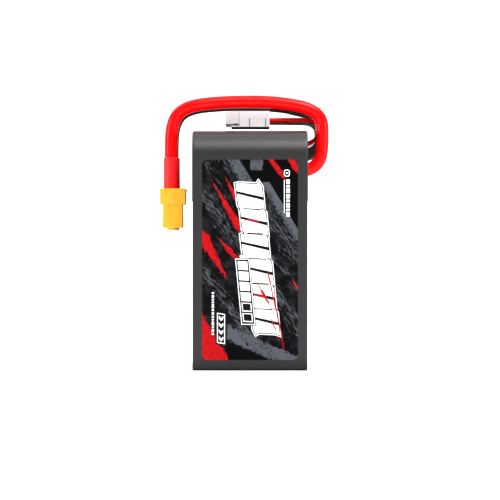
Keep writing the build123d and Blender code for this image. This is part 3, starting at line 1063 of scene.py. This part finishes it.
def build_contacts():
    """Round sockets with four spring slits."""
    verts, faces = [], []
    for y in (RED_Y, BLACK_Y):
        seg = 48
        rings = [(2.09, 60.6), (2.09, 49.1), (2.06, 48.90), (1.98, 48.84), (1.84, 48.92), (1.79, 49.2),
                 (1.79, 58.0), (0.2, 58.0)]
        at = len(verts)
        for r, z in rings:
            for k in range(seg):
                a = 2 * math.pi * k / seg
                verts.append((PX + r * math.cos(a), y + r * math.sin(a), z))
        for i in range(len(rings) - 1):
            for k in range(seg):
                slit = k % 12 == 6 and i in (1, 2, 3, 4)
                if slit:
                    continue
                a, b = at + i * seg + k, at + i * seg + (k + 1) % seg
                faces.append((a, b, b + seg, a + seg))
        faces.append(tuple(at + k for k in range(seg)))
    o = add_mesh("connector_sockets", verts, faces, gold)
    recalc(o)
    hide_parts("connector_contacts")
    return o


sockets = build_contacts()

# ------------------------------------------------------------------ balance plug
BY0, BY1 = BAL_Y - 9.9, BAL_Y + 9.9
Z0, Z1 = 85.25, 90.9
NZ0, NZ1 = 86.2, 90.4


def boxes(name, specs, material, bevel=0.18, seg=3, smooth=True, cutters=()):
    verts, faces = [], []
    for x0, x1, y0, y1, z0, z1 in specs:
        at = len(verts)
        verts += [(x, y, z) for x in (x0, x1) for y in (y0, y1) for z in (z0, z1)]
        for q in ((0, 1, 3, 2), (4, 6, 7, 5), (0, 4, 5, 1), (2, 3, 7, 6), (0, 2, 6, 4), (1, 5, 7, 3)):
            faces.append(tuple(at + k for k in q))
    o = add_mesh(name, verts, faces, material, smooth=smooth)
    recalc(o)
    if cutters:
        v, f = [], []
        for x0, x1, y0, y1, z0, z1 in cutters:
            at = len(v)
            v += [(x, y, z) for x in (x0, x1) for y in (y0, y1) for z in (z0, z1)]
            for q in ((0, 1, 3, 2), (4, 6, 7, 5), (0, 4, 5, 1), (2, 3, 7, 6), (0, 2, 6, 4), (1, 5, 7, 3)):
                f.append(tuple(at + k for k in q))
        c = helper("cutter", v, f)
        cut_by(o, [c])
    if bevel:
        finish_bevel(o, bevel, seg, 35)
    bake_down(o, [c] if cutters else [])
    return o


ways = [BAL_Y + (i - 3) * 2.5 for i in range(7)]
cavities = [(-9.8, 2.2, y - 0.95, y + 0.95, BAL_Z - 1.2, BAL_Z + 1.2) for y in ways]
nose = boxes("plug_nose", [(-8.7, -5.9, BY0 + 0.3, BY1 - 0.3, NZ0, NZ1)], nose_nylon, 0.14, 3, True, cavities)
# the collar is undercut along its lower front, leaving a thin shelf below
collar2 = boxes("plug_collar", [(-6.65, -3.85, BY0, BY1, Z0, Z1)], white_nylon, 0.14, 3, True,
                cavities + [(-7.5, -3.95, BY0 - 1, BY0 + 0.9, NZ0 - 0.45, NZ0 + 0.35),
                            (-7.5, -3.95, BY1 - 0.9, BY1 + 1, NZ0 - 0.45, NZ0 + 0.35)])
core = boxes("plug_core", [(-4.4, 3.2, BY0 + 0.6, BY1 - 0.6, Z0 + 0.55, Z1 - 0.55)], white_nylon, 0.2, 3, True,
             cavities)
guides = boxes("plug_guides",
               [(-8.3, -6.5, y - 0.22, y + 0.22, NZ1 - 0.05, NZ1 + 0.4) for y in ways[1:-1:2]]
               + [(-8.3, -6.5, y - 0.22, y + 0.22, NZ0 - 0.4, NZ0 + 0.05) for y in ways[1:-1:2]],
               white_nylon, 0.06, 2)
for o in (nose, collar2, core, guides):
    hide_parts("balance_plug_housing")
clip = boxes("plug_clip", [(-3.75, 6.95, BY0, BY1, Z0, Z1)], clear, 0.12, 3, True,
             [(-4.8, 8.0, BY0 + 0.55, BY1 - 0.55, Z0 + 0.5, Z1 - 0.5),
              (-0.3, 0.0, BY0 - 1, BY0 + 0.7, Z0 + 0.2, BAL_Z + 0.7),
              (-0.3, 0.0, BY1 - 0.7, BY1 + 1, Z0 + 0.2, BAL_Z + 0.7),
              (0.45, 5.2, BY0 - 1, BY0 + 0.12, Z0 + 0.5, BAL_Z + 0.5),
              (0.45, 5.2, BY1 - 0.12, BY1 + 1, Z0 + 0.5, BAL_Z + 0.5),
              (5.35, 5.62, BY0 - 1, BY0 + 0.35, Z0 + 0.2, BAL_Z + 0.7),
              (5.35, 5.62, BY1 - 0.35, BY1 + 1, Z0 + 0.2, BAL_Z + 0.7)])
# painted shade: thin dark strips set into the clip's joints and the collar's undercut
seam_shade = boxes("plug_seams",
              [(-0.3, 0.02, y - 0.02, y + 0.02, Z0 + 0.15, BAL_Z + 0.7) for y in (BY0 + 0.35, BY1 - 0.35)]
              + [(5.33, 5.62, y - 0.02, y + 0.02, Z0 + 0.15, BAL_Z + 0.7) for y in (BY0 + 0.15, BY1 - 0.15)]
              + [(-3.86, -3.70, y - 0.02, y + 0.02, Z0 + 0.1, Z1 - 0.1) for y in (BY0 + 0.05, BY1 - 0.05)]
              + [(-6.62, -3.95, y - 0.02, y + 0.02, NZ0 - 0.45, NZ0 + 0.35) for y in (BY0 + 0.5, BY1 - 0.5)],
              seam, 0.0, 1, False)
ridges = boxes("plug_clip_ridges",
               [(-3.3, 6.5, y - 0.2, y + 0.2, Z1 - 0.52, Z1 - 0.38) for y in ways[::3]], clear, 0.04, 2)
for o in (clip, ridges, seam_shade):
    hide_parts("balance_plug_clip")


def build_crimps():
    """One box contact per way, with a sprung tongue and crimp wings toward the wire."""
    made = []
    for k, y in enumerate(ways):
        o = boxes(f"crimp_contact_{k + 1}",
                  [(-8.1, -3.2, y - 0.85, y + 0.85, BAL_Z - 1.05, BAL_Z + 1.05),
                   (-3.3, -0.6, y - 0.6, y + 0.6, BAL_Z - 1.0, BAL_Z - 0.75),
                   (-0.8, 1.6, y - 0.85, y - 0.6, BAL_Z - 1.0, BAL_Z + 0.7),
                   (-0.8, 1.6, y + 0.6, y + 0.85, BAL_Z - 1.0, BAL_Z + 0.7)], tin, 0.05, 2, True,
                  [(-9.0, -3.5, y - 0.6, y + 0.6, BAL_Z - 0.8, BAL_Z + 0.8)])
        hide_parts("balance_plug_contacts")
        made.append(o)
    return made


crimps = build_crimps()
lead_pieces = connector + [sockets]
[red_boot] + lead_pieces

# ------------------------------------------------------------------ studio
world = bpy.data.worlds.new("studio")
bpy.context.scene.world = world
world.use_nodes = True
bg = world.node_tree.nodes["Background"]
bg.inputs[0].default_value = (1.0, 1.0, 1.0, 1.0)
bg.inputs[1].default_value = 0.55


def cove():
    """Floor that sweeps up into a backdrop behind the object."""
    pts = [(-3000.0, 0.0), (600.0, 0.0)]
    for k in range(1, 13):
        a = math.pi / 2 * k / 12
        pts.append((600.0 + 500 * math.sin(a), 500 * (1 - math.cos(a))))
    pts.append((1100.0, 2600.0))
    verts, faces = [], []
    for y, z in pts:
        verts += [(-2500.0, y, z), (2500.0, y, z)]
    for i in range(len(pts) - 1):
        faces.append((2 * i, 2 * i + 1, 2 * i + 3, 2 * i + 2))
    me = bpy.data.meshes.new("studio_cove")
    me.from_pydata([tuple(c * MM for c in v) for v in verts], [], faces)
    me.polygons.foreach_set("use_smooth", [True] * len(me.polygons))
    o = bpy.data.objects.new("studio_cove", me)
    bpy.context.scene.collection.objects.link(o)
    m = Mat("studio_paper", rough=0.9, spec=0.1)
    n = m.noise(60.0, 3.0)
    m.color(m.mix(n, (0.93, 0.93, 0.93), (0.95, 0.95, 0.95)))
    me.materials.append(m.m)
    return o


cove()


def area(name, loc, target, size, power, size_y=None, color=(1, 1, 1)):
    d = bpy.data.lights.new(name, "AREA")
    d.energy = power
    d.color = color
    d.shape = "RECTANGLE" if size_y else "SQUARE"
    d.size = size
    if size_y:
        d.size_y = size_y
    o = bpy.data.objects.new(name, d)
    bpy.context.scene.collection.objects.link(o)
    o.location = loc
    o.rotation_euler = (Vector(target) - Vector(loc)).to_track_quat("-Z", "Y").to_euler()
    return o


area("key_upper_right", (0.28, -0.27, 0.72), (0, 0, 0.06), 0.30, 5.2, 0.26)
area("front_soft", (0.10, -0.64, 0.98), (0, 0, 0.06), 0.55, 6.0, 0.6)
area("side_left", (-0.85, -0.34, 0.14), (0, 0, 0.06), 0.40, 6.2, 0.6)
area("side_right", (0.85, -0.42, 0.14), (0, 0, 0.06), 0.32, 4.0, 0.5)
area("rear_left", (-0.60, 0.35, 0.80), (-0.05, 0, 0.0), 0.4, 3.0)
area("backdrop_wash", (0.0, 0.35, 1.3), (0, 0.9, 0.2), 1.6, 11.0)

bpy.context.scene.view_settings.view_transform = "Standard"
bpy.context.scene.view_settings.look = "None"
